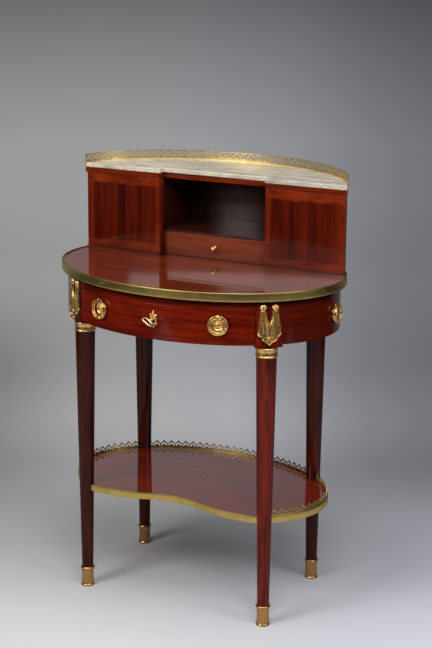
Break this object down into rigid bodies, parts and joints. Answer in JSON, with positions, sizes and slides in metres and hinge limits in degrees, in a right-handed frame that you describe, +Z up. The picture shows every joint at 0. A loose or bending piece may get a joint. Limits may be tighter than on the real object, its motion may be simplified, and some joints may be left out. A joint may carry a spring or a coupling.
{
  "type": "bonheur du jour",
  "caption": "Oval writing table on round tapering legs with a kidney-shaped under-shelf and a breakfront cabinet with doors, niche and small drawer under a marble top",
  "frame": {"origin": "on the floor under the centre of the oval top", "axes": "+X to the sitter's right, +Y from the sitter to the back, +Z up"},
  "size_m": [0.6639, 0.4973, 0.9665],
  "materials": {
    "mahogany": "French-polished",
    "leg_mahogany": "French-polished",
    "top_mahogany": "French-polished",
    "door_mahogany": "French-polished ribbon veneer",
    "drawer_mahogany": "French-polished",
    "oak": "unpolished",
    "brass": "aged",
    "gilt_bronze": "gilt, worn",
    "steel": "dull",
    "marble": "polished"
  },
  "bodies": {
    "frame": {"leg_front_left": "leg_mahogany", "sabot_front_left": "gilt_bronze", "drapery_front_left": "gilt_bronze", "leg_front_right": "leg_mahogany", "sabot_front_right": "gilt_bronze", "drapery_front_right": "gilt_bronze", "leg_back_left": "leg_mahogany", "sabot_back_left": "gilt_bronze", "drapery_back_left": "gilt_bronze", "leg_back_right": "leg_mahogany", "sabot_back_right": "gilt_bronze", "drapery_back_right": "gilt_bronze", "leg_collars": "gilt_bronze", "apron_left": "drawer_mahogany", "apron_right": "drawer_mahogany", "apron_back": "drawer_mahogany", "front_top_rail": "drawer_mahogany", "front_bottom_rail": "drawer_mahogany", "drawer_runner_left": "oak", "drawer_runner_right": "oak", "drawer_kickers": "oak", "table_top": "top_mahogany", "table_top_band": "brass", "shelf_board": "top_mahogany", "shelf_band": "brass", "shelf_gallery": "brass", "band_pins": "brass", "side_ring_plates": "gilt_bronze", "cabinet_base": "mahogany", "cabinet_back": "mahogany", "cabinet_top": "mahogany", "cabinet_dowels": "oak", "partition_left": "mahogany", "partition_right": "mahogany", "niche_shelf": "mahogany", "marble_top": "marble", "gallery_band": "brass", "top_gallery": "brass", "door_pivots": "steel"},
    "main_drawer": {"drawer_front": "drawer_mahogany", "drawer_side_left": "oak", "drawer_side_right": "oak", "drawer_back": "oak", "drawer_bottom": "oak", "drawer_lock": "brass", "escutcheon": "gilt_bronze", "drawer_ring_plates": "gilt_bronze"},
    "lock_bolt": {"lock_bolt": "steel"},
    "key": {"key": "gilt_bronze"},
    "drawer_ring_left": {"drawer_ring_left": "gilt_bronze"},
    "drawer_ring_right": {"drawer_ring_right": "gilt_bronze"},
    "side_ring_left": {"side_ring_left": "gilt_bronze"},
    "side_ring_right": {"side_ring_right": "gilt_bronze"},
    "door_left": {"door_left": "door_mahogany"},
    "door_right": {"door_right": "door_mahogany"},
    "small_drawer": {"small_drawer_front": "drawer_mahogany", "small_drawer_sides": "oak", "small_drawer_back": "oak", "small_drawer_bottom": "oak", "small_drawer_knob": "brass"}
  },
  "joints": [
    {"name": "main_drawer_slide", "type": "slide", "parent": "frame", "child": "main_drawer", "axis": [0, -1, 0], "range_m": [0, 0.22]},
    {"name": "small_drawer_slide", "type": "slide", "parent": "frame", "child": "small_drawer", "axis": [0, -1, 0], "range_m": [0, 0.1]},
    {"name": "door_left_swing", "type": "hinge", "parent": "frame", "child": "door_left", "pos_m": [-0.31026, 0.0548, 0.84], "axis": [0, 0, -1], "range_deg": [0, 95]},
    {"name": "door_right_swing", "type": "hinge", "parent": "frame", "child": "door_right", "pos_m": [0.31026, 0.0548, 0.84], "axis": [0, 0, 1], "range_deg": [0, 95]},
    {"name": "key_turn", "type": "hinge", "parent": "main_drawer", "child": "key", "pos_m": [0, -0.249, 0.679], "axis": [0, 1, 0], "range_deg": [0, 90]},
    {"name": "lock_bolt_slide", "type": "slide", "parent": "main_drawer", "child": "lock_bolt", "axis": [0, 0, 1], "range_m": [0, 0.008]},
    {"name": "drawer_ring_left_swing", "type": "hinge", "parent": "main_drawer", "child": "drawer_ring_left", "pos_m": [-0.14234, -0.20853, 0.6976], "axis": [-0.9457, 0.3251, 0], "range_deg": [0, 95]},
    {"name": "drawer_ring_right_swing", "type": "hinge", "parent": "main_drawer", "child": "drawer_ring_right", "pos_m": [0.14234, -0.20853, 0.6976], "axis": [-0.9457, -0.3251, 0], "range_deg": [0, 95]},
    {"name": "side_ring_left_swing", "type": "hinge", "parent": "frame", "child": "side_ring_left", "pos_m": [-0.3262, 0, 0.6976], "axis": [0, 1, 0], "range_deg": [0, 95]},
    {"name": "side_ring_right_swing", "type": "hinge", "parent": "frame", "child": "side_ring_right", "pos_m": [0.3262, 0, 0.6976], "axis": [0, -1, 0], "range_deg": [0, 95]}
  ],
  "couplings": [
    {"joint": "lock_bolt_slide", "follows": "key_turn", "m_per_rad": 0.00509}
  ]
}
